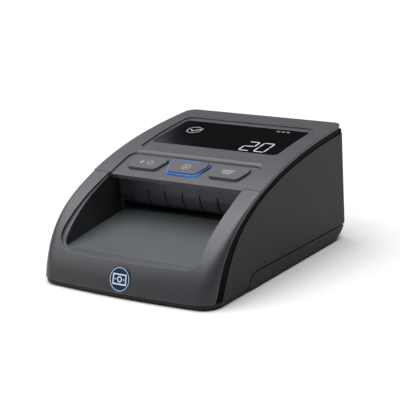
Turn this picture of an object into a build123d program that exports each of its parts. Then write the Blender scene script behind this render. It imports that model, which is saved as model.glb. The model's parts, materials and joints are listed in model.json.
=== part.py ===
from build123d import *
import math
import os

# A compact banknote tester and counter. Millimetres, +Z up, front towards -Y.
# The origin is on the table, under the middle of the machine.

# ---- driving dimensions ----
LENGTH = 166.0
WIDTH = 128.0
REAR_Y = LENGTH / 2
SIDE_TAPER = 0.0305          # each side closes in by this much per millimetre towards the rear
WALL = 2.2
GAP = 0.3                    # joint line between neighbouring mouldings
SKIRT_GAP = 0.7              # wider joint line above the base skirt
BASE_Z = 1.5                 # underside of the base, above the feet
PLATE_TOP = BASE_Z + WALL
REAR_FOOT_RADIUS = 17.0      # big round at the lower rear corner, seen from the side
REAR_CORNER_RADIUS = 2.5
COVER_CORNER_RADIUS = 7.0
SEAM_Y = -21.0               # where the lifting cover meets the front frame
SEAM_Z = 57.4                # height of the rim there

# side-view curve of the grey rim, from the front foot over the top to the rear: (y, z)
RIM = ((-77.5, 1.0), (-73.0, 12.0), (-67.0, 25.0), (-55.5, 38.5), (-36.0, 51.0),
       (SEAM_Y, SEAM_Z), (15.0, 67.5), (60.0, 73.6), (95.0, 75.9))
# side-view curve where the dark side panel begins
PANEL = ((-71.5, 0.0), (-63.5, 17.0), (-49.5, 36.0), (-24.8, 51.4),
         (12.2, 62.6), (63.4, 69.4), (95.0, 70.8))
PANEL_DROP = 1.2             # widens the black strip between rim and panel
# horizontal sections of the front: height, y where front and side meet, forward bow, corner radius
FRONT_SECTIONS = ((3.8, -79.6, 3.4, 12.0), (14.0, -76.6, 3.2, 11.0), (25.0, -70.6, 2.6, 8.6),
                  (38.5, -57.6, 1.6, 4.8), (51.0, -36.4, 0.7, 2.4), (57.8, -19.9, 0.3, 1.4))

# note tray and note path
TRAY_HALF = 50.0             # half the clear width between the wings
TRAY_WALL = 2.0
FLOOR_FRONT = (-69.5, 22.0)  # (y, z) of the tray floor's top at its front edge
FLOOR_BACK = (-8.0, 29.9)
CREST = (-75.0, 21.3)        # where the floor starts to roll over the front lip
LIP_EDGE = (-80.6, 16.0)
MOUTH_CORNER = 6.0           # round between the tray floor and its side walls
LEDGE_HALF = 55.2            # the wings step down to a ledge inside this half width, at its foot
LEDGE_TOP_HALF = 50.4        # and inside this one at the cover's seam
LEDGE_DEPTH = 1.3
LEDGE_FOOT = 22.2
LEDGE_CORNER = 9.5
PATH_Z = 30.0                # top of the lower guide
PATH_GAP = 2.4
GUIDE_HALF = 47.5
GUIDE_BOTTOM = PATH_Z + PATH_GAP       # underside of the guides in the cover
GUIDE_FRONT = -14.0
GUIDE_TOE = (-4.0, GUIDE_BOTTOM + 1.0) # where the feed guide's rounded front ends: (y, z)

# drive
TYRE_RADIUS = 8.0
SHAFT_RADIUS = 2.0
IDLER_RADIUS = 5.0
NIP_GAP = 0.5
FRONT_SHAFT_Y = 14.0
REAR_SHAFT_Y = 64.0
SHAFT_Z = PATH_Z + 0.6 - TYRE_RADIUS
IDLER_Z = PATH_Z + 0.6 + NIP_GAP + IDLER_RADIUS
ROLLER_X = 24.0
TYRE_WIDTH = 8.0
GEAR_MODULE = 0.8
PINION_TEETH = 12
WHEEL_TEETH = 40
CENTRE_DISTANCE = GEAR_MODULE * (PINION_TEETH + WHEEL_TEETH) / 2
MOTOR_ANGLE = -20.0          # direction from the front shaft to the motor, in the side view
MOTOR_Y = FRONT_SHAFT_Y + CENTRE_DISTANCE * math.cos(math.radians(MOTOR_ANGLE))
MOTOR_Z = SHAFT_Z + CENTRE_DISTANCE * math.sin(math.radians(MOTOR_ANGLE))
MOTOR_RADIUS = 10.0
PLATE_X = 50.0               # inner face of the chassis side plates
PLATE_THICK = 1.5
PULLEY_RADIUS = 6.0

# cover, window and keys
HINGE = (80.3, 69.4)
HINGE_PIN_RADIUS = 1.2
HINGE_BARREL_RADIUS = 2.6
SWEEP_RADIUS = 2.9           # nothing fixed may stand further than this from the hinge line, above it
FIXED_BARRELS = ((-47.0, -35.6), (-11.0, 11.0), (35.6, 47.0))
MOVING_BARRELS = ((-35.2, -11.4), (11.4, 35.2))
RECESS_HALF = 49.4
RECESS_DEPTH = 0.9
RECESS_REAR = 66.5
RECESS_CORNER = 5.0
WINDOW_SIZE = (94.0, 41.0, 1.6)
WINDOW_CENTRE = (0.0, 41.6, 70.05)
WINDOW_TILT = 7.6
WINDOW_CORNER = 2.4
BADGE_CENTRE = (0.0, -80.2, 11.6)
BADGE_LEAN = 15.0
BADGE_RADIUS = 7.7
RIDGE = (6.2, 62.6)          # rounded bar across the cover, between window and keys
RIDGE_RADIUS = 3.8
RIDGE_HALF = 45.4
RIDGE_BAND = 3.2             # the two shallow basins stop this far from the middle of the ridge
KEY_PITCH = 30.6
KEY_CENTRE = (0.0, -7.6, 61.5)
KEY_TILT = 17.0
KEY_TOP_WIDTH = 26.6
KEY_FOOT_WIDTH = 21.0
KEY_DEPTH = 13.6
KEY_PROUD = 0.9
RING_WIDTH = 1.2             # how far the lit ring reaches beyond the middle key
SLIT_PITCH = 13.2
FOOT_PLACES = ((-46, -62), (46, -62), (-44, 56), (44, 56))
BOSS_PLACES = ((-53, -44), (53, -44), (-44, 67), (44, 67))


def half_width(y):
    return WIDTH / 2 - SIDE_TAPER * (y + 67.0)


# ---- shared shapes ----
def block(x_range, y_range, z_range):
    """A plain box between two corners."""
    ranges = (x_range, y_range, z_range)
    with BuildPart() as shape:
        with Locations(tuple(sum(r) / 2 for r in ranges)):
            Box(*(r[1] - r[0] for r in ranges))
    return shape.part


def below_curve(points, shift=0.0):
    """Everything behind and below a side-view curve that is moved back and down by shift."""
    moved = [(y + shift, z - shift) for y, z in points]
    end_y, end_z = moved[-1]
    with BuildPart() as shape:
        with BuildSketch(Plane.YZ):
            with BuildLine():
                Spline(*moved)
                Polyline(moved[-1], (end_y + 10, end_z), (end_y + 10, -20), (moved[0][0], -20), moved[0])
            make_face()
        extrude(amount=90, both=True)
    return shape.part


def plan_prism(inset, corner=REAR_CORNER_RADIUS):
    """The tapered plan outline with round rear corners, drawn in by inset, open-ended at the front."""
    rear = REAR_Y - inset
    with BuildPart() as shape:
        with BuildSketch(Plane.XY.offset(-10)) as plan:
            with BuildLine():
                Polyline((half_width(-95) - inset, -95), (half_width(rear) - inset, rear),
                         (inset - half_width(rear), rear), (inset - half_width(-95), -95), close=True)
            make_face()
            fillet(plan.vertices().group_by(Axis.Y)[-1], max(corner - inset, 0.3))
        extrude(amount=110)
    return shape.part


def side_prism(inset):
    """The casing's side view: rim curve above, round foot corner at the rear, drawn in by inset."""
    rear = REAR_Y - inset
    foot = BASE_Z + inset
    radius = REAR_FOOT_RADIUS - inset
    with BuildPart() as shape:
        add(below_curve(RIM, inset))
        with BuildSketch(Plane.YZ) as view:
            with BuildLine():
                Polyline((-100, foot), (rear, foot), (rear, 100), (-100, 100), close=True)
            make_face()
            fillet(view.vertices().group_by(Axis.X)[-1].sort_by(Axis.Y)[0], radius)
        extrude(amount=90, both=True, mode=Mode.INTERSECT)
    return shape.part


def casing(inset):
    with BuildPart() as shape:
        add(side_prism(inset))
        add(plan_prism(inset), mode=Mode.INTERSECT)
    return shape.part


def front_section(corner_y, bow, radius, inset):
    """One horizontal section of the front: bowed face, two round corners, straight sides."""
    y = corner_y + inset
    x = half_width(y) - inset
    back_x = half_width(-10) - inset
    with BuildSketch() as outline:
        with BuildLine():
            ThreePointArc((-x, y), (0, y - bow), (x, y))
            Polyline((x, y), (back_x, -10), (-back_x, -10), (-x, y))
        make_face()
        fillet(outline.vertices().group_by(Axis.Y)[0], max(radius - inset, 0.6))
    return outline.sketch


def front_block(inset, drop):
    """The bowed front, as a stack of horizontal sections that lean back as they rise."""
    sections = [front_section(*shape, inset) for _, *shape in FRONT_SECTIONS]
    with BuildPart() as shape:
        for (height, *_), outline in zip(FRONT_SECTIONS, sections):
            with BuildSketch(Plane.XY.offset(height - drop)):
                add(outline)
        loft()
    return shape.part


def base_region(gap):
    """The side-view zone of the base skirt: low along the side, ending in a round step near the front."""
    with BuildPart() as shape:
        with BuildSketch(Plane.YZ) as view:
            with BuildLine():
                Polyline((-38 - gap, -20), (95, -20), (95, 8.4 + gap), (-38 - gap, 10.2 + gap), close=True)
            make_face()
            fillet(view.vertices().group_by(Axis.X)[0].sort_by(Axis.Y)[-1], 8.0)
        extrude(amount=90, both=True)
    return shape.part


def floor_wedge(drop, from_y, to_y, half):
    """All the room above the sloping tray floor, lowered by drop."""
    slope = (FLOOR_BACK[1] - FLOOR_FRONT[1]) / (FLOOR_BACK[0] - FLOOR_FRONT[0])

    def floor_z(y):
        return FLOOR_FRONT[1] + slope * (y - FLOOR_FRONT[0]) - drop

    with BuildPart() as shape:
        with BuildSketch(Plane.YZ):
            with BuildLine():
                Polyline((from_y, floor_z(from_y)), (to_y, floor_z(to_y)), (to_y, 90), (from_y, 90),
                         close=True)
            make_face()
        extrude(amount=half, both=True)
    return shape.part


def ledge_prism():
    """The outline of the ledge as seen from the front: narrower upwards, with round lower corners."""
    with BuildPart() as shape:
        with BuildSketch(Plane.XZ) as view:
            with BuildLine():
                Polyline((-LEDGE_HALF, LEDGE_FOOT), (LEDGE_HALF, LEDGE_FOOT), (LEDGE_TOP_HALF, SEAM_Z),
                         (LEDGE_TOP_HALF, 90), (-LEDGE_TOP_HALF, 90), (-LEDGE_TOP_HALF, SEAM_Z), close=True)
            make_face()
            fillet(view.vertices().group_by(Axis.Y)[0], LEDGE_CORNER)
        extrude(amount=100)
    return shape.part


def rod(x_range, y, z, radius, hole=0.0):
    """A round bar or ring along X."""
    with BuildPart() as shape:
        with BuildSketch(Plane.YZ.offset(x_range[0])):
            with Locations((y, z)):
                Circle(radius)
                if hole:
                    Circle(hole, mode=Mode.SUBTRACT)
        extrude(amount=x_range[1] - x_range[0])
    return shape.part


def spur_gear(x_range, y, z, teeth, bore, phase=0.0):
    """A spur gear along X with straight-flanked teeth; phase turns it so that a pair meshes."""
    pitch = GEAR_MODULE * teeth / 2
    root = pitch - 1.25 * GEAR_MODULE
    tip = pitch + 0.9 * GEAR_MODULE
    root_half = root * math.sin(math.radians(0.29 * 360 / teeth))
    tip_half = tip * math.sin(math.radians(0.11 * 360 / teeth))
    with BuildPart() as shape:
        with BuildSketch(Plane.YZ.offset(x_range[0])):
            with Locations((y, z)):
                Circle(root + 0.1)
                with PolarLocations(0, teeth, start_angle=phase):
                    Polygon((root - 0.3, -root_half), (root, -root_half), (tip, -tip_half),
                            (tip, tip_half), (root, root_half), (root - 0.3, root_half))
                Circle(bore, mode=Mode.SUBTRACT)
        extrude(amount=x_range[1] - x_range[0])
    return shape.part


def key_outline(grow, top=KEY_TOP_WIDTH / 2, foot=KEY_FOOT_WIDTH / 2, depth=KEY_DEPTH / 2):
    """Outline of a key: a trapezoid, wide at the rear, with round corners, grown by grow."""
    with BuildSketch() as outline:
        with BuildLine():
            Polyline((-foot, -depth), (foot, -depth), (top, depth * 0.35), (top, depth),
                     (-top, depth), (-top, depth * 0.35), close=True)
        make_face()
        fillet(outline.vertices().group_by(Axis.Y)[0], 3.6)
        fillet(outline.vertices().group_by(Axis.Y)[-1], 2.4)
        offset(amount=grow)
    return outline.sketch


def common(first, *others):
    """The room that all the given parts share."""
    with BuildPart() as shape:
        add(first)
        for other in others:
            add(other, mode=Mode.INTERSECT)
    return shape.part


def without(first, *others):
    """The first part with the others cut away."""
    with BuildPart() as shape:
        add(first)
        for other in others:
            add(other, mode=Mode.SUBTRACT)
    return shape.part


def tilted_plane(centre, tilt, x=0.0, lift=0.0):
    lean = math.radians(tilt)
    normal = Vector(0, -math.sin(lean), math.cos(lean))
    origin = Vector(centre[0] + x, centre[1], centre[2]) + normal * lift
    return Plane(origin=origin, x_dir=(1, 0, 0), z_dir=normal)


SHELL = without(casing(0), casing(WALL))
SIDE_SKIN = without(block((-90, 90), (-120, 120), (-20, 120)), plan_prism(WALL + 0.4))
UNDER_RIM = below_curve(RIM, 1.6)
ON_PANEL = below_curve(PANEL, PANEL_DROP)


def finish_piece(name, part):
    part.label = name
    export_step(part, f"parts/{name}.step")


os.makedirs("parts", exist_ok=True)

# ---- base and casing ----
with BuildPart() as base_housing:
    add(SHELL)
    add(base_region(0), mode=Mode.INTERSECT)
    with BuildSketch(Plane.XY.offset(BASE_Z)):
        add(front_section(*FRONT_SECTIONS[0][1:], 0.6))
    extrude(amount=PLATE_TOP - BASE_Z)
    with BuildSketch(Plane.XY.offset(PLATE_TOP - 0.5)):
        with Locations(*BOSS_PLACES):
            Circle(3.6)
    extrude(amount=7.5)
    with BuildSketch(Plane.XY.offset(BASE_Z)):
        with Locations(*FOOT_PLACES):
            Circle(6.6)
    extrude(amount=0.8, mode=Mode.SUBTRACT)
    with Locations(*[(x, y, BASE_Z + 1.0) for x, y in BOSS_PLACES]):
        Cylinder(2.8, 2.0, align=(Align.CENTER, Align.CENTER, Align.MAX), mode=Mode.SUBTRACT)
        Cylinder(1.25, 9.0, align=(Align.CENTER, Align.CENTER, Align.MIN), mode=Mode.SUBTRACT)
    with Locations((0, 30, BASE_Z)):
        with GridLocations(0, 5, 1, 7):
            Box(46, 1.6, 8, mode=Mode.SUBTRACT)
finish_piece("base_housing", base_housing.part)

with BuildPart() as tray_void:
    with BuildSketch(Plane.YZ):
        with BuildLine():
            Line(FLOOR_BACK, CREST)
            TangentArc(CREST, LIP_EDGE, tangent=(CREST[0] - FLOOR_BACK[0], CREST[1] - FLOOR_BACK[1]))
            Polyline(LIP_EDGE, (-100, LIP_EDGE[1]), (-100, 90), (FLOOR_BACK[0], 90), FLOOR_BACK)
        make_face()
    extrude(amount=TRAY_HALF, both=True)
    long_edges = tray_void.edges().filter_by(lambda e: abs(abs(e.center().X) - TRAY_HALF) < 0.01)
    fillet(long_edges.filter_by(lambda e: -80.6 < e.center().Y < -10 and e.center().Z < 28), MOUTH_CORNER)
SILL = common(block((-52, 52), (-90, -69.8), (0, 60)), floor_wedge(2.6, -100, -60, 60))
with BuildPart() as front_frame:
    add(front_block(0, 0))
    add(without(front_block(2.2, 1.2), SILL), mode=Mode.SUBTRACT)
    add(tray_void.part, mode=Mode.SUBTRACT)
    add(block((-80, 80), (SEAM_Y - 0.45, 20), (-5, 90)), mode=Mode.SUBTRACT)
    add(common(UNDER_RIM, SIDE_SKIN), mode=Mode.SUBTRACT)
    add(without(ledge_prism(), front_block(LEDGE_DEPTH, LEDGE_DEPTH * 0.8)), mode=Mode.SUBTRACT)
    with BuildSketch(tilted_plane(BADGE_CENTRE, 90 - BADGE_LEAN)):
        Circle(BADGE_RADIUS + 0.15)
    extrude(amount=4, mode=Mode.SUBTRACT)
finish_piece("front_frame", front_frame.part)

with BuildPart() as feed_tray:
    add(floor_wedge(TRAY_WALL, FLOOR_FRONT[0], FLOOR_BACK[0], TRAY_HALF + 0.3 + TRAY_WALL))
    add(floor_wedge(0, -100, 0, TRAY_HALF + 0.3 + TRAY_WALL), mode=Mode.SUBTRACT)
    for side in (-1, 1):
        wall_x = sorted((side * (TRAY_HALF + 0.3), side * (TRAY_HALF + 0.3 + TRAY_WALL)))
        wall = block(wall_x, (FLOOR_FRONT[0], -10.5), (19, 53.6))
        add(common(wall, front_block(2.6, 1.7), floor_wedge(TRAY_WALL, -100, 0, 60)))
finish_piece("feed_tray", feed_tray.part)

ABOVE_BASE = without(block((-90, 90), (-90, 90), (3.8, 90)), base_region(SKIRT_GAP))
NOSE_ROOM = block((-90, 90), (-95, -40), (-5, 48))
HINGE_SWEEP = without(block((-90, 90), (HINGE[0] - 3, 90), (HINGE[1], 90)),
                      rod((-90, 90), *HINGE, SWEEP_RADIUS))
TRIM_ZONE = without(common(casing(0.4), below_curve(RIM, 1.6 + GAP)), plan_prism(2.4),
                    below_curve(PANEL, PANEL_DROP - GAP),
                    without(NOSE_ROOM, front_block(0.4, 0.2)), HINGE_SWEEP)
PANEL_ZONE = without(common(SHELL, ON_PANEL, ABOVE_BASE), block((-57, 57), (-90, 50), (0, 90)),
                     without(NOSE_ROOM, front_block(-0.05, 0)))
for side, hand in ((-1, "left"), (1, "right")):
    half_space = block(sorted((side * 49.7, side * 90)), (-90, 90), (3.8, 90))
    finish_piece(f"side_panel_{hand}", common(PANEL_ZONE, half_space))
    finish_piece(f"trim_strip_{hand}", common(TRIM_ZONE, half_space))

with BuildPart() as rear_panel:
    add(common(SHELL, ABOVE_BASE, block((-49.4, 49.4), (60, 90), (3, HINGE[1] - 3.0))))
    with Locations((0, REAR_Y, PATH_Z + 2.2)):
        Box(93, 20, 7.2, mode=Mode.SUBTRACT)
    with Locations(Plane(origin=(-34, REAR_Y, 22.4), z_dir=(0, 1, 0))):
        Cylinder(3.6, 20, mode=Mode.SUBTRACT)
    with Locations((32, REAR_Y, 21.4)):
        Box(9.6, 20, 3.8, mode=Mode.SUBTRACT)
finish_piece("rear_panel", rear_panel.part)

# ---- chassis and note path ----
for side, hand in ((-1, "left"), (1, "right")):
    with BuildPart() as plate:
        with BuildSketch(Plane.YZ.offset(side * (PLATE_X + PLATE_THICK / 2))):
            with BuildLine():
                Polyline((-3, 4.4), (69, 4.4), (72, 16), (72, 30), (16, 30), (10, 38), (-10.2, 38),
                         (-10.2, 30.3), (-3, 30.3), close=True)
            make_face()
            with Locations((FRONT_SHAFT_Y, SHAFT_Z), (REAR_SHAFT_Y, SHAFT_Z)):
                Circle(4.0, mode=Mode.SUBTRACT)
            with Locations((MOTOR_Y, MOTOR_Z)):
                Circle(3.4, mode=Mode.SUBTRACT)
            with Locations((48, 12)):
                SlotOverall(12, 6, mode=Mode.SUBTRACT)
        extrude(amount=PLATE_THICK / 2, both=True)
    finish_piece(f"chassis_plate_{hand}", plate.part)

with BuildPart() as lower_guide:
    add(block((-49.8, 49.8), (FLOOR_BACK[0] + GAP, 79.6), (PATH_Z - 2.2, PATH_Z)))
    for shaft_y in (FRONT_SHAFT_Y, REAR_SHAFT_Y):
        with Locations((-ROLLER_X, shaft_y, PATH_Z), (ROLLER_X, shaft_y, PATH_Z)):
            Box(TYRE_WIDTH + 2, 2 * TYRE_RADIUS + 1, 12, mode=Mode.SUBTRACT)
    with Locations((0, 39, PATH_Z)):
        Box(80, 18, 12, mode=Mode.SUBTRACT)
        with Locations((0, 0, -1.4)):
            Box(84, 22, 1.6, align=(Align.CENTER, Align.CENTER, Align.MAX), mode=Mode.SUBTRACT)
finish_piece("lower_guide", lower_guide.part)
finish_piece("lower_sensor_glass", block((-39.8, 39.8), (30.2, 47.8), (PATH_Z - 1.4, PATH_Z - 0.1)))
finish_piece("lower_sensor_board", block((-41, 41), (29, 49), (PATH_Z - 3.8, PATH_Z - 2.6)))
with BuildPart() as lower_sensors:
    with Locations((0, 39, PATH_Z - 2.6)):
        with GridLocations(14, 9, 5, 2):
            Box(4, 3, 1.0, align=(Align.CENTER, Align.CENTER, Align.MIN))
finish_piece("lower_sensors", lower_sensors.part)

# ---- drive ----
with BuildPart() as drive_motor:
    add(rod((-PLATE_X + 0.1, -22), MOTOR_Y, MOTOR_Z, MOTOR_RADIUS))
    add(rod((-53, -PLATE_X + 1), MOTOR_Y, MOTOR_Z, 3.0))
    add(rod((-22, -20), MOTOR_Y, MOTOR_Z, 3.5))
    chamfer(drive_motor.edges().filter_by(GeomType.CIRCLE).sort_by(Axis.X)[-3:-1], 0.6)
finish_piece("drive_motor", drive_motor.part)
with BuildPart() as motor_pinion:
    add(spur_gear((-57, -53.4), MOTOR_Y, MOTOR_Z, PINION_TEETH, 0.9, phase=180 + MOTOR_ANGLE))
    add(rod((-58, -53.2), MOTOR_Y, MOTOR_Z, 1.2))
finish_piece("motor_pinion", motor_pinion.part)
with BuildPart() as drive_wheel:
    add(spur_gear((-57, -53.4), FRONT_SHAFT_Y, SHAFT_Z, WHEEL_TEETH, SHAFT_RADIUS,
                  phase=MOTOR_ANGLE + 180 / WHEEL_TEETH))
    with BuildSketch(Plane.YZ.offset(-57)):
        with Locations((FRONT_SHAFT_Y, SHAFT_Z)):
            with PolarLocations(9, 5):
                Circle(3.0)
    extrude(amount=4, mode=Mode.SUBTRACT)
finish_piece("drive_wheel", drive_wheel.part)
finish_piece("front_shaft", rod((-57.5, 57.5), FRONT_SHAFT_Y, SHAFT_Z, SHAFT_RADIUS))
finish_piece("rear_shaft", rod((-56.0, 57.5), REAR_SHAFT_Y, SHAFT_Z, SHAFT_RADIUS))


def roller_pair(y, z, outer, bore, width):
    with BuildPart() as pair:
        for x in (-ROLLER_X, ROLLER_X):
            add(rod((x - width / 2, x + width / 2), y, z, outer, bore))
    return pair.part


for place, shaft_y in (("front", FRONT_SHAFT_Y), ("rear", REAR_SHAFT_Y)):
    finish_piece(f"{place}_tyres", roller_pair(shaft_y, SHAFT_Z, TYRE_RADIUS, 5.5, TYRE_WIDTH))
    finish_piece(f"{place}_hubs", roller_pair(shaft_y, SHAFT_Z, 5.5, SHAFT_RADIUS, TYRE_WIDTH + 2))
    with BuildPart() as pulley:
        add(rod((53.4, 57.4), shaft_y, SHAFT_Z, PULLEY_RADIUS + 1.8, SHAFT_RADIUS))
        add(rod((54.2, 56.6), shaft_y, SHAFT_Z, PULLEY_RADIUS + 3, PULLEY_RADIUS), mode=Mode.SUBTRACT)
    finish_piece(f"{place}_pulley", pulley.part)

with BuildPart() as shaft_bushes:
    for side in (-1, 1):
        for shaft_y in (FRONT_SHAFT_Y, REAR_SHAFT_Y):
            sleeve = sorted((side * (PLATE_X - 0.8), side * (PLATE_X + PLATE_THICK + 0.8)))
            flange = sorted((side * (PLATE_X + PLATE_THICK), side * (PLATE_X + PLATE_THICK + 0.8)))
            add(rod(sleeve, shaft_y, SHAFT_Z, 4.0, SHAFT_RADIUS + 0.05))
            add(rod(flange, shaft_y, SHAFT_Z, 5.0, SHAFT_RADIUS + 0.05))
finish_piece("shaft_bushes", shaft_bushes.part)

with BuildPart() as drive_belt:
    with BuildSketch(Plane.YZ.offset(54.5)):
        with Locations(((FRONT_SHAFT_Y + REAR_SHAFT_Y) / 2, SHAFT_Z)):
            for radius, mode in ((PULLEY_RADIUS + 1.3, Mode.ADD), (PULLEY_RADIUS + 0.3, Mode.SUBTRACT)):
                SlotOverall(REAR_SHAFT_Y - FRONT_SHAFT_Y + 2 * radius, 2 * radius, mode=mode)
    extrude(amount=1.8)
finish_piece("drive_belt", drive_belt.part)

with BuildPart() as encoder_wheel:
    add(rod((-54.6, -53.6), REAR_SHAFT_Y, SHAFT_Z, 9.0, SHAFT_RADIUS))
    with BuildSketch(Plane.YZ.offset(-55)):
        with Locations((REAR_SHAFT_Y, SHAFT_Z)):
            with PolarLocations(7.0, 16):
                Rectangle(2.6, 1.1)
    extrude(amount=2, mode=Mode.SUBTRACT)
finish_piece("encoder_wheel", encoder_wheel.part)
with BuildPart() as encoder_sensor:
    add(block((-57.0, -51.7), (REAR_SHAFT_Y - 12.5, REAR_SHAFT_Y - 6.3), (SHAFT_Z - 3, SHAFT_Z + 3)))
    add(block((-55.2, -53.0), (REAR_SHAFT_Y - 9.6, REAR_SHAFT_Y), (SHAFT_Z - 9, SHAFT_Z + 9)),
        mode=Mode.SUBTRACT)
finish_piece("encoder_sensor", encoder_sensor.part)

# ---- electronics in the base ----
BOARD_Z = 9.0
finish_piece("main_board", block((-44, 44), (-60, -10), (BOARD_Z, BOARD_Z + 1.6)))
with BuildPart() as board_parts:
    for x, y, wide, deep, high in ((0, -34, 14, 14, 1.4), (-22, -26, 9, 7, 1.4), (24, -22, 8, 12, 2.2),
                                   (-30, -44, 12, 5, 4.0), (30, -46, 10, 8, 3.0), (8, -52, 18, 5, 4.0)):
        with Locations((x, y, BOARD_Z + 1.6)):
            Box(wide, deep, high, align=(Align.CENTER, Align.CENTER, Align.MIN))
finish_piece("board_parts", board_parts.part)
with BuildPart() as board_posts:
    with Locations(*[(x, y, PLATE_TOP) for x in (-40, 40) for y in (-56, -14)]):
        Cylinder(2.6, BOARD_Z - PLATE_TOP, align=(Align.CENTER, Align.CENTER, Align.MIN))
finish_piece("board_posts", board_posts.part)
with BuildPart() as buzzer:
    with Locations((14, -18, BOARD_Z + 1.6)):
        Cylinder(5.5, 6.0, align=(Align.CENTER, Align.CENTER, Align.MIN))
        with Locations((0, 0, 5.0)):
            Cylinder(1.2, 3.0, mode=Mode.SUBTRACT)
finish_piece("buzzer", buzzer.part)

SOCKET_FRONT = 72.6
finish_piece("socket_board", block((-42, 42), (SOCKET_FRONT, 80.2), (15.6, 17.0)))
with BuildPart() as dc_socket:
    add(block((-38.5, -29.5), (SOCKET_FRONT, 80.5), (17.0, 27.0)))
    with BuildSketch(Plane(origin=(-34, 80.5, 22.4), x_dir=(1, 0, 0), z_dir=(0, 1, 0))):
        Circle(3.4)
    extrude(amount=2.2)
    with BuildSketch(Plane(origin=(-34, 82.7, 22.4), x_dir=(1, 0, 0), z_dir=(0, -1, 0))):
        Circle(2.75)
        Circle(0.95, mode=Mode.SUBTRACT)
    extrude(amount=8.0, mode=Mode.SUBTRACT)
finish_piece("dc_socket", dc_socket.part)
with BuildPart() as usb_socket:
    with BuildSketch(Plane(origin=(32, SOCKET_FRONT, 21.4 - 2.6 + 0.4), x_dir=(1, 0, 0), z_dir=(0, 1, 0))):
        Rectangle(9.0, 4.4)
    extrude(amount=8)
    with BuildSketch(Plane(origin=(32, SOCKET_FRONT, 21.4), x_dir=(1, 0, 0), z_dir=(0, 1, 0))) as mouth:
        RectangleRounded(9.0, 3.2, 1.4)
    extrude(amount=10.0)
    with BuildSketch(Plane(origin=(32, SOCKET_FRONT + 10.0, 21.4), x_dir=(1, 0, 0), z_dir=(0, -1, 0))):
        RectangleRounded(8.3, 2.5, 1.1)
        Rectangle(6.2, 0.7, mode=Mode.SUBTRACT)
    extrude(amount=6.5, mode=Mode.SUBTRACT)
finish_piece("usb_socket", usb_socket.part)

# ---- small parts outside ----
with BuildPart() as rubber_feet:
    with Locations(*[(x, y, 0) for x, y in FOOT_PLACES]):
        Cylinder(6.5, BASE_Z + 0.7, align=(Align.CENTER, Align.CENTER, Align.MIN))
    chamfer(rubber_feet.edges().group_by(Axis.Z)[0], 0.5)
finish_piece("rubber_feet", rubber_feet.part)
with BuildPart() as case_screws:
    with Locations(*[(x, y, BASE_Z + 0.3) for x, y in BOSS_PLACES]):
        Cylinder(2.6, 0.65, align=(Align.CENTER, Align.CENTER, Align.MIN))
        Cylinder(1.2, 8.0, align=(Align.CENTER, Align.CENTER, Align.MIN))
        Box(3.4, 0.7, 0.7, mode=Mode.SUBTRACT)
finish_piece("case_screws", case_screws.part)

# ---- hinge ----
finish_piece("hinge_pin", rod((-46.8, 46.8), *HINGE, HINGE_PIN_RADIUS))
with BuildPart() as hinge_brackets:
    for barrel in FIXED_BARRELS:
        add(block(barrel, (78.2, 80.7), (58, HINGE[1])))
        add(rod(barrel, *HINGE, HINGE_BARREL_RADIUS))
    add(rod((-60, 60), *HINGE, HINGE_PIN_RADIUS), mode=Mode.SUBTRACT)
finish_piece("hinge_brackets", hinge_brackets.part)

# ---- lifting cover ----
WINDOW = tilted_plane(WINDOW_CENTRE, WINDOW_TILT)
with BuildPart() as recess_room:
    for front_y, rear_y in ((-40, RIDGE[0] - RIDGE_BAND), (RIDGE[0] + RIDGE_BAND, RECESS_REAR)):
        with BuildSketch(Plane.XY.offset(40)):
            with Locations((0, (front_y + rear_y) / 2)):
                RectangleRounded(2 * RECESS_HALF, rear_y - front_y, RECESS_CORNER)
        extrude(amount=59)
with BuildPart() as top_cover:
    add(SHELL)
    add(plan_prism(-0.05, COVER_CORNER_RADIUS), mode=Mode.INTERSECT)
    add(common(UNDER_RIM, SIDE_SKIN), mode=Mode.SUBTRACT)
    add(without(block((-90, 90), (SEAM_Y, 90), (40, 90)), below_curve(RIM, WALL + 0.1)),
        mode=Mode.INTERSECT)
    skirt_room = common(plan_prism(3.2), below_curve(RIM, 1.0),
                        block((-90, 90), (SEAM_Y + 1.2, 70), (0, 90)))
    add(without(skirt_room, plan_prism(4.8), below_curve(RIM, 6.0)))
    add(common(block((-49.4, 49.4), (SEAM_Y, SEAM_Y + 1.8), (54.0, 90)), below_curve(RIM, 1.0)))
    add(without(recess_room.part, below_curve(RIM, RECESS_DEPTH)), mode=Mode.SUBTRACT)
    with BuildSketch(WINDOW):
        RectangleRounded(WINDOW_SIZE[0] + 0.4, WINDOW_SIZE[1] + 0.4, WINDOW_CORNER + 0.2)
    extrude(amount=6, both=True, mode=Mode.SUBTRACT)
    with BuildSketch(tilted_plane(WINDOW_CENTRE, WINDOW_TILT, lift=-0.3)):
        RectangleRounded(WINDOW_SIZE[0] + 0.5, WINDOW_SIZE[1] + 0.5, WINDOW_CORNER + 0.25)
    extrude(amount=3, taper=-42, mode=Mode.SUBTRACT)
    for x in (-KEY_PITCH, 0, KEY_PITCH):
        with BuildSketch(tilted_plane(KEY_CENTRE, KEY_TILT, x)):
            add(key_outline(RING_WIDTH + 0.15 if x == 0 else 0.3))
        extrude(amount=6, both=True, mode=Mode.SUBTRACT)
    with BuildSketch(Plane.YZ):
        with Locations(RIDGE):
            Circle(RIDGE_RADIUS)
    extrude(amount=RIDGE_HALF, both=True)
    with Locations((-RIDGE_HALF, *RIDGE), (RIDGE_HALF, *RIDGE)):
        Sphere(RIDGE_RADIUS)
    for barrel in MOVING_BARRELS:
        add(block(barrel, (HINGE[0] - 1.8, HINGE[0] + 1.2), (HINGE[1], 74.2)))
        add(rod(barrel, *HINGE, HINGE_BARREL_RADIUS))
        add(rod(barrel, *HINGE, HINGE_PIN_RADIUS + 0.06), mode=Mode.SUBTRACT)
finish_piece("top_cover", top_cover.part)

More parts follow.
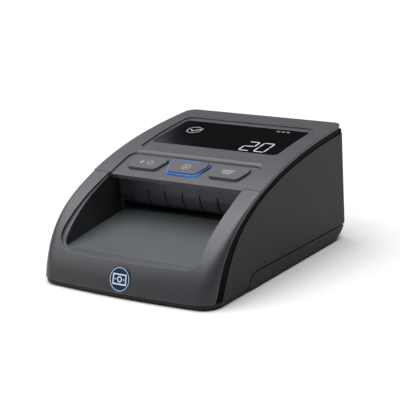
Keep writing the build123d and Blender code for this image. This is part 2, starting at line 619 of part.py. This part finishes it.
DISPLAY_SHEETS = (("display_window", WINDOW_SIZE[:2], -WINDOW_SIZE[2], 0.0, WINDOW_CORNER),
                  ("display_module", (88, 35), -5.2, -2.0, 0.6),
                  ("display_board", (92, 39), -7.2, -5.6, 0.6))
for name, size, low, high, corner in DISPLAY_SHEETS:
    with BuildPart() as sheet:
        with BuildSketch(tilted_plane(WINDOW_CENTRE, WINDOW_TILT, lift=low)):
            RectangleRounded(*size, corner)
        extrude(amount=high - low)
    finish_piece(name, sheet.part)

for name, x in (("key_add", -KEY_PITCH), ("key_power", 0), ("key_menu", KEY_PITCH)):
    with BuildPart() as key:
        with BuildSketch(tilted_plane(KEY_CENTRE, KEY_TILT, x, lift=-1.8)):
            add(key_outline(0))
        extrude(amount=1.8 + KEY_PROUD)
        fillet(key.faces().sort_by(Axis.Z)[-1].edges(), 0.8)
        with BuildSketch(tilted_plane(KEY_CENTRE, KEY_TILT, x, lift=-4.0)):
            Circle(2.0)
        extrude(amount=2.4)
    finish_piece(name, key.part)

with BuildPart() as power_light_ring:
    with BuildSketch(tilted_plane(KEY_CENTRE, KEY_TILT, lift=-2.4)):
        add(key_outline(RING_WIDTH))
        add(key_outline(0.35), mode=Mode.SUBTRACT)
    extrude(amount=2.6)
finish_piece("power_light_ring", power_light_ring.part)
with BuildPart() as key_board:
    with BuildSketch(tilted_plane(KEY_CENTRE, KEY_TILT, lift=-9.4)):
        Rectangle(90, 12.4)
    extrude(amount=1.4)
finish_piece("key_board", key_board.part)
with BuildPart() as key_switches:
    for x in (-KEY_PITCH, 0, KEY_PITCH):
        with BuildSketch(tilted_plane(KEY_CENTRE, KEY_TILT, x, lift=-8.0)):
            Rectangle(6, 6)
        extrude(amount=2.2)
        with BuildSketch(tilted_plane(KEY_CENTRE, KEY_TILT, x, lift=-5.8)):
            Circle(1.5)
        extrude(amount=0.8)
finish_piece("key_switches", key_switches.part)


def guide_front(back, up):
    """Everything behind the rounded front of the feed guide, with the front moved back and up."""
    front = GUIDE_FRONT + back
    toe = (GUIDE_TOE[0] + back, GUIDE_TOE[1] + up)
    with BuildPart() as shape:
        with BuildSketch(Plane.YZ):
            with BuildLine():
                Line((front, 53.5), (front, 45.0))
                TangentArc((front, 45.0), toe, tangent=(0, -1))
                Polyline(toe, (5.5, toe[1] - 1.0), (5.5, 53.5), (front, 53.5))
            make_face()
        extrude(amount=48.6, both=True)
    return shape.part


with BuildPart() as feed_guide:
    add(guide_front(0, 0))
    add(guide_front(2.4, 2.2), mode=Mode.SUBTRACT)
    add(block((-60, 60), (-2, 20), (GUIDE_BOTTOM + 2, 60)), mode=Mode.SUBTRACT)
    for step in range(-3, 4):
        slit = block((step * SLIT_PITCH - 0.5, step * SLIT_PITCH + 0.5), (-20, -3), (34.6, 47.0))
        add(without(slit, guide_front(1.1, 0.9)), mode=Mode.SUBTRACT)
finish_piece("feed_guide", feed_guide.part)

with BuildPart() as upper_guide:
    add(block((-GUIDE_HALF, GUIDE_HALF), (6.4, 76.0), (GUIDE_BOTTOM, GUIDE_BOTTOM + 10.0)))
    add(block((1.8 - GUIDE_HALF, GUIDE_HALF - 1.8), (8.4, 74.2), (GUIDE_BOTTOM + 2.0, 90)),
        mode=Mode.SUBTRACT)
    for shaft_y in (FRONT_SHAFT_Y, REAR_SHAFT_Y):
        with Locations((-ROLLER_X, shaft_y, GUIDE_BOTTOM), (ROLLER_X, shaft_y, GUIDE_BOTTOM)):
            Box(9, 2 * IDLER_RADIUS + 1, 8, mode=Mode.SUBTRACT)
        for x in (-40, -12, 12, 40):
            add(block((x - 1, x + 1), (shaft_y - 3, shaft_y + 3), (GUIDE_BOTTOM + 1.5, IDLER_Z)))
            add(rod((x - 1, x + 1), shaft_y, IDLER_Z, 3.0))
        add(rod((-44, 44), shaft_y, IDLER_Z, 1.5), mode=Mode.SUBTRACT)
    with Locations((0, 39, GUIDE_BOTTOM)):
        Box(80, 18, 12, mode=Mode.SUBTRACT)
    for x in (-44, 44):
        for y, top in ((14.5, 62.8), (68, 71.2)):
            add(block((x - 2, x + 2), (y - 3, y + 3), (GUIDE_BOTTOM + 1, top)))
finish_piece("upper_guide", upper_guide.part)
finish_piece("upper_sensor_glass",
             block((-39.8, 39.8), (30.2, 47.8), (GUIDE_BOTTOM + 0.1, GUIDE_BOTTOM + 1.4)))
finish_piece("upper_sensor_board", block((-42, 42), (27, 51), (GUIDE_BOTTOM + 3.6, GUIDE_BOTTOM + 5.2)))
with BuildPart() as upper_sensors:
    with Locations((0, 39, GUIDE_BOTTOM + 3.6)):
        with GridLocations(14, 9, 5, 2):
            Box(4, 3, 1.6, align=(Align.CENTER, Align.CENTER, Align.MAX))
finish_piece("upper_sensors", upper_sensors.part)
with BuildPart() as idler_axles:
    for shaft_y in (FRONT_SHAFT_Y, REAR_SHAFT_Y):
        add(rod((-42, 42), shaft_y, IDLER_Z, 1.5))
finish_piece("idler_axles", idler_axles.part)
for place, shaft_y in (("front", FRONT_SHAFT_Y), ("rear", REAR_SHAFT_Y)):
    finish_piece(f"{place}_idlers", roller_pair(shaft_y, IDLER_Z, IDLER_RADIUS, 1.56, 7.0))

# ---- badge on the lip ----
with BuildPart() as front_badge:
    with BuildSketch(tilted_plane(BADGE_CENTRE, 90 - BADGE_LEAN, lift=0.0)):
        Circle(BADGE_RADIUS)
    extrude(amount=0.9)
    chamfer(front_badge.edges().group_by(Axis.Y)[0], 0.25)
finish_piece("front_badge", front_badge.part)
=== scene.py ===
import json
import math

import bmesh
import bpy
from mathutils import Matrix, Vector


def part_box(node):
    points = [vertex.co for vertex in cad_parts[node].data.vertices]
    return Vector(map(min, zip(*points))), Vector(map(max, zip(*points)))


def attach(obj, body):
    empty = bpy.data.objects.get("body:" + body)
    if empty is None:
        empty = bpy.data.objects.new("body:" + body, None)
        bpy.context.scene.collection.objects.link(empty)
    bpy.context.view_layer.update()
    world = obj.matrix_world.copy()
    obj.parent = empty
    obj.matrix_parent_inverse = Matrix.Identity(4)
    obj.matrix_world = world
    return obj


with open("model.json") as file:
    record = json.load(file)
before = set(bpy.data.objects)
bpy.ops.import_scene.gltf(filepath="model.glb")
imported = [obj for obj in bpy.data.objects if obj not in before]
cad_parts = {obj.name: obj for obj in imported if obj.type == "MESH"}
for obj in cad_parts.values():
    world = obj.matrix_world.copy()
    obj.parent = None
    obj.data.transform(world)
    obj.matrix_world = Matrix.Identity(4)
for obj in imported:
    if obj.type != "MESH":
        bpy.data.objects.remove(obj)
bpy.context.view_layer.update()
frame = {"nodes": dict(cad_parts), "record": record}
MM = 0.001
EDGE_WEAR_AND_HIGHLIGHT = 0.6              # millimetres of edge band lightened on the mouldings, by rubbed wear and painted highlight


# ---- node material helpers ----
def new_material(name):
    """An empty node material with its shader and output joined."""
    material = bpy.data.materials.new(name)
    material.use_nodes = True
    tree = material.node_tree
    tree.nodes.clear()
    output = tree.nodes.new("ShaderNodeOutputMaterial")
    shader = tree.nodes.new("ShaderNodeBsdfPrincipled")
    tree.links.new(shader.outputs["BSDF"], output.inputs["Surface"])
    return material, tree, shader


def noise(tree, scale, detail=4.0, stretch=(1, 1, 1)):
    """Noise in the object's own metres; scale is cells per metre."""
    place = tree.nodes.new("ShaderNodeTexCoord")
    mapping = tree.nodes.new("ShaderNodeMapping")
    mapping.inputs["Scale"].default_value = stretch
    texture = tree.nodes.new("ShaderNodeTexNoise")
    texture.inputs["Scale"].default_value = scale
    texture.inputs["Detail"].default_value = detail
    tree.links.new(place.outputs["Object"], mapping.inputs["Vector"])
    tree.links.new(mapping.outputs["Vector"], texture.inputs["Vector"])
    return texture.outputs["Fac"]


def spread(tree, value, low, high, start=0.0, end=1.0):
    """Moves a 0..1 value onto another range."""
    node = tree.nodes.new("ShaderNodeMapRange")
    node.inputs["From Min"].default_value = start
    node.inputs["From Max"].default_value = end
    node.inputs["To Min"].default_value = low
    node.inputs["To Max"].default_value = high
    tree.links.new(value, node.inputs["Value"])
    return node.outputs["Result"]


def combine(tree, operation, first, second):
    """A sum, difference or product of two values, each a number or a socket."""
    node = tree.nodes.new("ShaderNodeMath")
    node.operation = operation
    for socket, value in zip(node.inputs, (first, second)):
        if isinstance(value, (int, float)):
            socket.default_value = value
        else:
            tree.links.new(value, socket)
    return node.outputs["Value"]


def blend_colours(tree, amount, first, second):
    """From the first colour to the second as amount goes from 0 to 1."""
    node = tree.nodes.new("ShaderNodeMix")
    node.data_type = "RGBA"
    tree.links.new(amount, node.inputs["Factor"])
    for socket, value in ((node.inputs["A"], first), (node.inputs["B"], second)):
        if isinstance(value, tuple):
            socket.default_value = (*value, 1.0)
        else:
            tree.links.new(value, socket)
    return node.outputs["Result"]


def bump(tree, shader, height, distance, strength=1.0, rounding=0.0):
    """Surface relief; distance and rounding are in millimetres, and rounding softens sharp edges."""
    node = tree.nodes.new("ShaderNodeBump")
    node.inputs["Distance"].default_value = distance * MM
    node.inputs["Strength"].default_value = strength
    tree.links.new(height, node.inputs["Height"])
    if rounding:
        soft = tree.nodes.new("ShaderNodeBevel")
        soft.samples = 4
        soft.inputs["Radius"].default_value = rounding * MM
        tree.links.new(soft.outputs["Normal"], node.inputs["Normal"])
    tree.links.new(node.outputs["Normal"], shader.inputs["Normal"])


def edge_mask(tree, radius):
    """About 1 on edges, outer or inner, within radius millimetres of them, and 0 on flats."""
    soft = tree.nodes.new("ShaderNodeBevel")
    soft.samples = 6
    soft.inputs["Radius"].default_value = radius * MM
    actual = tree.nodes.new("ShaderNodeNewGeometry")
    dot = tree.nodes.new("ShaderNodeVectorMath")
    dot.operation = "DOT_PRODUCT"
    tree.links.new(soft.outputs["Normal"], dot.inputs[0])
    tree.links.new(actual.outputs["Normal"], dot.inputs[1])
    return spread(tree, dot.outputs["Value"], 1.0, 0.0, start=0.86, end=0.995)


# ---- materials ----
def upward(tree, low, high):
    """0 where the piece's own normal rises less than low, 1 where it rises more than high."""
    own = tree.nodes.new("ShaderNodeTexCoord")
    split = tree.nodes.new("ShaderNodeSeparateXYZ")
    tree.links.new(own.outputs["Normal"], split.inputs["Vector"])
    return spread(tree, split.outputs["Z"], 0.0, 1.0, low, high)


def moulded_plastic(name, colour, rough, grain=2600, grain_depth=0.05, worn_and_highlit=None, mottle=0.10,
                    specular=0.5, steep_shade=None):
    """Spark-eroded moulded plastic: fine pebble grain, faint mottling, edges lightened by rubbed wear and
    painted highlight, painted shade making it darker where steep.
    """
    material, tree, shader = new_material(name)
    patches = noise(tree, 55, 3)
    dark = tuple(c * (1 - mottle) for c in colour)
    light = tuple(min(1.0, c * (1 + mottle)) for c in colour)
    tint = blend_colours(tree, patches, dark, light)
    # painted shade: faces whose own normal rises little are blended toward the dark steep colour, for the
    # shade on sides turned away from the light
    if steep_shade:
        tint = blend_colours(tree, upward(tree, 0.15, 0.85), steep_shade, tint)
    fine = noise(tree, grain, 2)
    speck = spread(tree, fine, 0.0, 1.0, start=0.35, end=0.75)
    sheen = tuple(c * 1.6 for c in colour)
    speckled = blend_colours(tree, combine(tree, "MULTIPLY", speck, 0.25), tint, sheen)
    # edges lighten toward this colour: partly rubbed wear, partly painted highlight along rims and creases
    worn_and_highlit = worn_and_highlit or tuple(min(1.0, c * 1.7) for c in colour)
    rubbed_and_highlit = spread(tree, noise(tree, 180, 4), 0.1, 0.75, 0.35, 0.7)
    edges = combine(tree, "MULTIPLY", edge_mask(tree, EDGE_WEAR_AND_HIGHLIGHT), rubbed_and_highlit)
    tree.links.new(blend_colours(tree, edges, speckled, worn_and_highlit), shader.inputs["Base Color"])
    smudge = combine(tree, "ADD", spread(tree, noise(tree, 26, 5), -0.06, 0.06), rough)
    shader.inputs["Specular IOR Level"].default_value = specular
    tree.links.new(combine(tree, "SUBTRACT", smudge, combine(tree, "MULTIPLY", edges, 0.08)),
                   shader.inputs["Roughness"])
    bump(tree, shader, fine, grain_depth, 0.5, rounding=0.4)
    return material


def glossy_plastic(name, colour, rough=0.12, haze=0.05, specular=0.5):
    """Polished plastic with faint moulding waves and wipe marks."""
    material, tree, shader = new_material(name)
    shader.inputs["Specular IOR Level"].default_value = specular
    waves = noise(tree, 40, 2)
    crest = tuple(c * 1.5 for c in colour)
    tree.links.new(blend_colours(tree, waves, colour, crest), shader.inputs["Base Color"])
    wipes = noise(tree, 120, 6, stretch=(1, 0.15, 1))
    tree.links.new(spread(tree, wipes, rough, rough + haze, 0.3, 0.8), shader.inputs["Roughness"])
    bump(tree, shader, waves, 0.02, 0.3, rounding=0.3)
    return material


def window_black(name):
    """The smoked display window: a deep black sheet with fine dust and wipe marks on its gloss."""
    material, tree, shader = new_material(name)
    shader.inputs["IOR"].default_value = 1.49
    haze = noise(tree, 60, 5, stretch=(1, 0.2, 1))
    tree.links.new(blend_colours(tree, haze, (0.0015, 0.0014, 0.002), (0.004, 0.0035, 0.005)),
                   shader.inputs["Base Color"])
    tree.links.new(spread(tree, haze, 0.10, 0.15, 0.3, 0.8), shader.inputs["Roughness"])
    bump(tree, shader, noise(tree, 25, 1), 0.01, 0.2)
    return material


def metal(name, colour, rough, along=(1, 12, 12)):
    """Turned or rolled metal with drawn lines along one direction and dull patches."""
    material, tree, shader = new_material(name)
    lines = noise(tree, 900, 3, stretch=along)
    shader.inputs["Metallic"].default_value = 1.0
    tree.links.new(blend_colours(tree, noise(tree, 70, 4), tuple(c * 0.75 for c in colour), colour),
                   shader.inputs["Base Color"])
    tree.links.new(spread(tree, lines, rough - 0.08, rough + 0.14), shader.inputs["Roughness"])
    bump(tree, shader, lines, 0.01, 0.4, rounding=0.2)
    return material


def rubber(name, colour):
    """Soft rubber: fine cross grain, dusty bloom."""
    material, tree, shader = new_material(name)
    dust = spread(tree, noise(tree, 90, 5), 0.0, 0.5, 0.45, 0.75)
    tree.links.new(blend_colours(tree, dust, colour, tuple(c * 2.2 + 0.01 for c in colour)),
                   shader.inputs["Base Color"])
    tree.links.new(spread(tree, noise(tree, 300, 3), 0.7, 0.9), shader.inputs["Roughness"])
    bump(tree, shader, noise(tree, 1500, 3, stretch=(4, 1, 1)), 0.08, 0.6, rounding=0.3)
    return material


def board_lacquer(name):
    """Green solder mask with copper tracks showing faintly through it."""
    material, tree, shader = new_material(name)
    place = tree.nodes.new("ShaderNodeTexCoord")
    tracks = tree.nodes.new("ShaderNodeTexBrick")
    tracks.inputs["Scale"].default_value = 140
    tracks.inputs["Mortar Size"].default_value = 0.03
    tracks.inputs["Color1"].default_value = (0.006, 0.07, 0.03, 1)
    tracks.inputs["Color2"].default_value = (0.004, 0.05, 0.022, 1)
    tracks.inputs["Mortar"].default_value = (0.02, 0.17, 0.07, 1)
    tree.links.new(place.outputs["Object"], tracks.inputs["Vector"])
    tree.links.new(tracks.outputs["Color"], shader.inputs["Base Color"])
    tree.links.new(spread(tree, noise(tree, 80, 3), 0.2, 0.4), shader.inputs["Roughness"])
    bump(tree, shader, tracks.outputs["Fac"], 0.05, 0.4)
    return material


def clear_glass(name):
    """Clear sensor cover with a slight bluish haze."""
    material, tree, shader = new_material(name)
    shader.inputs["Transmission Weight"].default_value = 0.9
    shader.inputs["IOR"].default_value = 1.5
    haze = noise(tree, 90, 5)
    tree.links.new(blend_colours(tree, haze, (0.72, 0.80, 0.82), (0.86, 0.92, 0.94)),
                   shader.inputs["Base Color"])
    tree.links.new(spread(tree, haze, 0.02, 0.10, 0.4, 0.8), shader.inputs["Roughness"])
    return material


def lit_ring(name):
    """Blue ring round the middle key, lit unevenly and fading from its front edge to its rear."""
    material, tree, shader = new_material(name)
    low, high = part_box("power_light_ring")
    place = tree.nodes.new("ShaderNodeTexCoord")
    split = tree.nodes.new("ShaderNodeSeparateXYZ")
    tree.links.new(place.outputs["Object"], split.inputs["Vector"])
    front = spread(tree, split.outputs["Y"], 1.0, 0.06, low[1], high[1])
    glow = combine(tree, "MULTIPLY", front, spread(tree, noise(tree, 60, 1), 0.10, 0.75, 0.40, 0.60))
    patches = spread(tree, noise(tree, 70, 2), 0, 1, 0.35, 0.65)
    hue = blend_colours(tree, patches, (0.012, 0.06, 0.24), (0.05, 0.21, 0.58))
    tree.links.new(hue, shader.inputs["Base Color"])
    tree.links.new(hue, shader.inputs["Emission Color"])
    tree.links.new(glow, shader.inputs["Emission Strength"])
    tree.links.new(spread(tree, noise(tree, 300, 3), 0.25, 0.4), shader.inputs["Roughness"])
    return material


def display_light(name, strength):
    """Backlit liquid-crystal segment, a little brighter in places."""
    material, tree, shader = new_material(name)
    glow = spread(tree, noise(tree, 500, 3), strength * 0.8, strength * 1.1)
    shader.inputs["Emission Color"].default_value = (0.93, 0.96, 1.0, 1.0)
    tree.links.new(glow, shader.inputs["Emission Strength"])
    tree.links.new(blend_colours(tree, glow, (0.02, 0.02, 0.02), (0.06, 0.06, 0.06)),
                   shader.inputs["Base Color"])
    tree.links.new(spread(tree, glow, 0.3, 0.4), shader.inputs["Roughness"])
    return material


def printed_ink(name, colour):
    """Pad-printed ink, slightly uneven where fingers rub it."""
    material, tree, shader = new_material(name)
    rub = noise(tree, 700, 4)
    thin = tuple(c * 0.8 for c in colour)
    tree.links.new(blend_colours(tree, rub, thin, colour), shader.inputs["Base Color"])
    tree.links.new(spread(tree, rub, 0.35, 0.5), shader.inputs["Roughness"])
    return material


MATERIALS = {
    # the light edge colour of the grey mouldings stands for rubbed wear and painted highlight
    "grey_plastic": moulded_plastic("grey_plastic", (0.078, 0.080, 0.087), 0.38, worn_and_highlit=(0.26, 0.26, 0.27),
                                    # painted shade: dark colour for the steep faces of the grey mouldings
                                    steep_shade=(0.0105, 0.011, 0.0138)),
    "side_plastic": moulded_plastic("side_plastic", (0.010, 0.010, 0.010), 0.52, grain=1900,
                                    grain_depth=0.08, specular=0.26),
    "black_gloss": glossy_plastic("black_gloss", (0.0012, 0.0012, 0.0016), 0.35, specular=0.02),
    "base_plastic": moulded_plastic("base_plastic", (0.008, 0.008, 0.008), 0.50, grain=1900,
                                    grain_depth=0.08, specular=0.25),
    "tray_plastic": moulded_plastic("tray_plastic", (0.085, 0.094, 0.098), 0.42, grain=3000,
                                    # painted shade: dark colour for the tray walls
                                    grain_depth=0.03, steep_shade=(0.012, 0.012, 0.013)),
    "guide_plastic": moulded_plastic("guide_plastic", (0.035, 0.036, 0.046), 0.34, grain=3000,
                                     grain_depth=0.02),
    "window_gloss": window_black("window_gloss"),
    "sensor_glass": clear_glass("sensor_glass"),
    "key_plastic": moulded_plastic("key_plastic", (0.088, 0.090, 0.098), 0.38, grain=3200, grain_depth=0.03),
    "ring_light": lit_ring("ring_light"),
    "badge_blue": glossy_plastic("badge_blue", (0.003, 0.020, 0.065), 0.22, specular=0.35),
    "circuit_board": board_lacquer("circuit_board"),
    "chip_black": moulded_plastic("chip_black", (0.012, 0.012, 0.012), 0.45, grain=4000, grain_depth=0.02),
    "steel": metal("steel", (0.56, 0.56, 0.57), 0.30),
    "socket_metal": metal("socket_metal", (0.62, 0.62, 0.63), 0.25, along=(12, 1, 12)),
    "bronze": metal("bronze", (0.52, 0.36, 0.18), 0.38),
    "tyre_rubber": rubber("tyre_rubber", (0.020, 0.020, 0.021)),
    "white_gear": moulded_plastic("white_gear", (0.62, 0.60, 0.54), 0.38, grain=3000, grain_depth=0.02,
                                  mottle=0.05),
    "foot_rubber": rubber("foot_rubber", (0.015, 0.015, 0.016)),
}
DISPLAY_LIGHT = display_light("display_light", 0.85)
DISPLAY_DIM = display_light("display_dim", 0.30)
KEY_INK = printed_ink("key_ink", (0.42, 0.43, 0.45))
BADGE_WHITE = printed_ink("badge_white", (0.72, 0.80, 0.86))


def dress_frame():
    """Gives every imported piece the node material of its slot."""
    for sub in frame["record"]["subparts"]:
        node = frame["nodes"][sub["node"]]
        for slot in node.material_slots:
            slot.material = MATERIALS[sub["material_slot"]]


dress_frame()


# ---- marks on the display, the keys and the badge ----
def face_frame(name, toward):
    """Centre and axes of a node's biggest flat face on one side: across, up the face, outward."""
    node = frame["nodes"][name]
    faces = [face for face in node.data.polygons if face.normal.dot(Vector(toward)) > 0.5]
    outward = max(faces, key=lambda face: face.area).normal.copy()
    flat = [face for face in faces if face.normal.dot(outward) > 0.9999]
    area = sum(face.area for face in flat)
    centre = sum((face.center * face.area for face in flat), Vector()) / area
    across = Vector((1, 0, 0))
    axes = Matrix((across, outward.cross(across), outward)).transposed().to_4x4()
    return node.matrix_world @ Matrix.Translation(centre) @ axes


def mark(name, body, place, shapes, material, thick=0.05, lift=0.004, round_edge=0.012):
    """Thin raised figures from flat outlines, laid on a face and softened at the edge. Millimetres."""
    work = bmesh.new()
    for outline in shapes:
        low = [work.verts.new((x * MM, y * MM, lift * MM)) for x, y in outline]
        high = [work.verts.new((x * MM, y * MM, thick * MM)) for x, y in outline]
        work.faces.new(reversed(low))
        work.faces.new(high)
        for i in range(len(outline)):
            j = (i + 1) % len(outline)
            work.faces.new((low[i], low[j], high[j], high[i]))
    bmesh.ops.recalc_face_normals(work, faces=work.faces)
    mesh = bpy.data.meshes.new(name)
    work.to_mesh(mesh)
    work.free()
    piece = bpy.data.objects.new(name, mesh)
    bpy.context.scene.collection.objects.link(piece)
    piece.matrix_world = place
    soft = piece.modifiers.new("soft_edge", "BEVEL")
    soft.width = round_edge * MM
    soft.segments = 2
    mesh.materials.append(material)
    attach(piece, body)


def bar(start, end, wide):
    """A straight stroke with pointed ends, as in a segment display."""
    start, end = Vector(start), Vector(end)
    along = (end - start).normalized() * wide / 2
    aside = Vector((-along.y, along.x))
    return [start, start + along + aside, end - along + aside,
            end, end - along - aside, start + along - aside]


def box_bar(x, y, wide, high):
    """A plain rectangle about its centre."""
    return [(x - wide / 2, y - high / 2), (x + wide / 2, y - high / 2),
            (x + wide / 2, y + high / 2), (x - wide / 2, y + high / 2)]


def ring(x, y, radius, wide, start=0.0, end=360.0, steps=48):
    """A round stroke in short straight pieces, so that it can be left open."""
    pieces = []
    inner, outer = radius - wide / 2, radius + wide / 2
    for i in range(steps):
        a, b = (math.radians(start + (end - start) * k / steps) for k in (i, i + 1))
        pieces.append([(x + reach * math.cos(angle), y + reach * math.sin(angle))
                       for reach, angle in ((inner, a), (outer, a), (outer, b), (inner, b))])
    return pieces


def disc(x, y, radius, steps=32):
    """A filled round."""
    angles = [2 * math.pi * i / steps for i in range(steps)]
    return [(x + radius * math.cos(angle), y + radius * math.sin(angle)) for angle in angles]


# both ends of each segment, one unit wide and two high, from the digit's lower left corner
SEGMENTS = {"a": ((0, 2), (1, 2)), "b": ((1, 2), (1, 1)), "c": ((1, 1), (1, 0)), "d": ((0, 0), (1, 0)),
            "e": ((0, 1), (0, 0)), "f": ((0, 2), (0, 1)), "g": ((0, 1), (1, 1))}
DIGITS = {"2": "abged", "0": "abcdef"}
SEGMENT_TRIM = 0.25          # gap at each end of a segment


def digit_strokes(digit, x, y, wide, high, stroke):
    """Seven-segment strokes of one digit whose lower left corner is at x, y."""
    strokes = []
    for letter in DIGITS[digit]:
        ends = [Vector((x + u * wide, y + v * high / 2)) for u, v in SEGMENTS[letter]]
        trim = (ends[1] - ends[0]).normalized() * SEGMENT_TRIM
        strokes.append(bar(ends[0] + trim, ends[1] - trim, stroke))
    return strokes


# places and sizes are millimetres from the middle of the face that carries the mark
DIGIT_SIZE = (7.4, 14.0)
DIGIT_STROKE = 0.85
DIGIT_PLACES = (("2", 17.8, -17.9), ("0", 28.8, -17.9))
WINDOW_FACE = face_frame("display_window", (0, 0, 1))
mark("display_digits", "cover", WINDOW_FACE,
     [stroke for place in DIGIT_PLACES for stroke in digit_strokes(*place, *DIGIT_SIZE, DIGIT_STROKE)],
     DISPLAY_LIGHT)
mark("display_check", "cover", WINDOW_FACE,
     ring(-31.6, 5.4, 5.0, 0.36, 60, 385)
     + [bar((-34.4, 6.0), (-31.9, 3.2), 0.6), bar((-32.2, 3.2), (-26.6, 9.2), 0.6)],
     DISPLAY_LIGHT)
mark("display_unit", "cover", WINDOW_FACE,
     [box_bar(26.2 + 3.6 * step, 16.8, 2.4, 1.5) for step in range(3)], DISPLAY_DIM)

mark("icon_power", "key_power", face_frame("key_power", (0, 0, 1)),
     ring(0, 0, 2.7, 0.5) + [disc(0, 0, 0.9)], KEY_INK)
mark("icon_add", "key_add", face_frame("key_add", (0, 0, 1)),
     [box_bar(-3.2, 0, 3.6, 0.7), box_bar(-3.2, 1.1, 0.7, 1.5), box_bar(-3.2, -1.1, 0.7, 1.5)]
     + ring(3.0, 0, 1.8, 0.5), KEY_INK)
mark("icon_menu", "key_menu", face_frame("key_menu", (0, 0, 1)),
     [box_bar(0, 1.7 - 1.7 * step, 9.0 - 1.6 * step, 0.75) for step in range(3)], KEY_INK)

BADGE_FACE = face_frame("front_badge", (0, -1, 0))
mark("badge_note", "base", BADGE_FACE,
     [box_bar(0, 2.9, 10.0, 0.8), box_bar(0, -2.9, 10.0, 0.8),
      box_bar(-4.6, 0, 0.8, 5.0), box_bar(4.6, 0, 0.8, 5.0)]
     + ring(0, 0, 1.5, 0.7) + [disc(-3.1, 0, 0.45, 12), disc(3.1, 0, 0.45, 12)], BADGE_WHITE)
mark("badge_rim", "base", BADGE_FACE, ring(0, 0, 6.9, 0.35, steps=72), BADGE_WHITE, thick=0.03)


# ---- stage, lights and camera ----
FLOOR_HALF = 9.0
# (how high the sky direction points, brightness)
SKY_LEVELS = ((0.0, 0.30), (0.2, 0.08), (0.38, 0.012), (0.6, 0.06), (0.85, 0.9))
LENS = 137.13
CAMERA_PLACE = (0.534246, -0.743541, 0.295799)
CAMERA_RIGHT = (0.82127854, 0.56800307, -0.05361041)
CAMERA_UP = (-0.11144166, 0.25186766, 0.96132379)


def make_floor():
    """A plain pale sheet under the machine."""
    half = FLOOR_HALF
    corners = [(-half, -half, 0), (half, -half, 0), (half, half, 0), (-half, half, 0)]
    mesh = bpy.data.meshes.new("floor")
    mesh.from_pydata(corners, [], [(0, 1, 2, 3)])
    floor = bpy.data.objects.new("floor", mesh)
    bpy.context.scene.collection.objects.link(floor)
    material, tree, shader = new_material("floor_paper")
    tree.links.new(blend_colours(tree, noise(tree, 8, 3), (0.86, 0.86, 0.86), (0.90, 0.90, 0.90)),
                   shader.inputs["Base Color"])
    tree.links.new(spread(tree, noise(tree, 60, 3), 0.75, 0.9), shader.inputs["Roughness"])
    mesh.materials.append(material)


def area_light(name, place, target, size, power, colour=(1, 1, 1)):
    """A rectangular softbox aimed at a point."""
    data = bpy.data.lights.new(name, "AREA")
    data.shape = "RECTANGLE"
    data.size, data.size_y = size
    data.energy = power
    data.color = colour
    light = bpy.data.objects.new(name, data)
    bpy.context.scene.collection.objects.link(light)
    light.location = place
    light.rotation_euler = (Vector(target) - Vector(place)).to_track_quat("-Z", "Y").to_euler()


def make_world():
    """A studio: bright overhead, dark between the softboxes, dim near the floor."""
    world = bpy.data.worlds.new("studio")
    world.use_nodes = True
    tree = world.node_tree
    place = tree.nodes.new("ShaderNodeTexCoord")
    split = tree.nodes.new("ShaderNodeSeparateXYZ")
    ramp = tree.nodes.new("ShaderNodeValToRGB")
    tree.links.new(place.outputs["Generated"], split.inputs["Vector"])
    tree.links.new(split.outputs["Z"], ramp.inputs["Fac"])
    stops = ramp.color_ramp.elements
    stops[0].position = SKY_LEVELS[0][0]
    stops[1].position = SKY_LEVELS[-1][0]
    for height, _ in SKY_LEVELS[1:-1]:
        stops.new(height)
    for element, (_, level) in zip(stops, SKY_LEVELS):
        element.color = (level, level, level * 1.03, 1)
    tree.links.new(ramp.outputs["Color"], tree.nodes["Background"].inputs["Color"])
    bpy.context.scene.world = world


def soft_sun(name, direction, strength, spread_degrees):
    """An even light from one direction, with soft shadows."""
    data = bpy.data.lights.new(name, "SUN")
    data.energy = strength
    data.angle = math.radians(spread_degrees)
    light = bpy.data.objects.new(name, data)
    bpy.context.scene.collection.objects.link(light)
    light.rotation_euler = Vector(direction).to_track_quat("-Z", "Y").to_euler()


def make_camera():
    """Front right view from 36 degrees round and 16 degrees up, long lens, leaning 3 degrees."""
    data = bpy.data.cameras.new("camera")
    data.sensor_width = 36.0
    data.lens = LENS
    camera = bpy.data.objects.new("camera", data)
    bpy.context.scene.collection.objects.link(camera)
    right, up = Vector(CAMERA_RIGHT), Vector(CAMERA_UP)
    turn = Matrix((right, up, right.cross(up))).transposed().to_4x4()
    camera.matrix_world = Matrix.Translation(CAMERA_PLACE) @ turn
    bpy.context.scene.camera = camera


make_floor()
make_world()
make_camera()
soft_sun("overhead", (0.25, 0.12, -1), 2.6, 70)
area_light("window_card", (-1.13, 1.09, 0.75), (0, 0.04, 0.07), (0.30, 0.5), 0.22, (0.86, 0.80, 1.0))
area_light("front_card", (-0.56, -0.46, 0.36), (0, -0.06, 0.02), (0.25, 0.40), 0.72)
bpy.context.scene.view_settings.view_transform = "Standard"
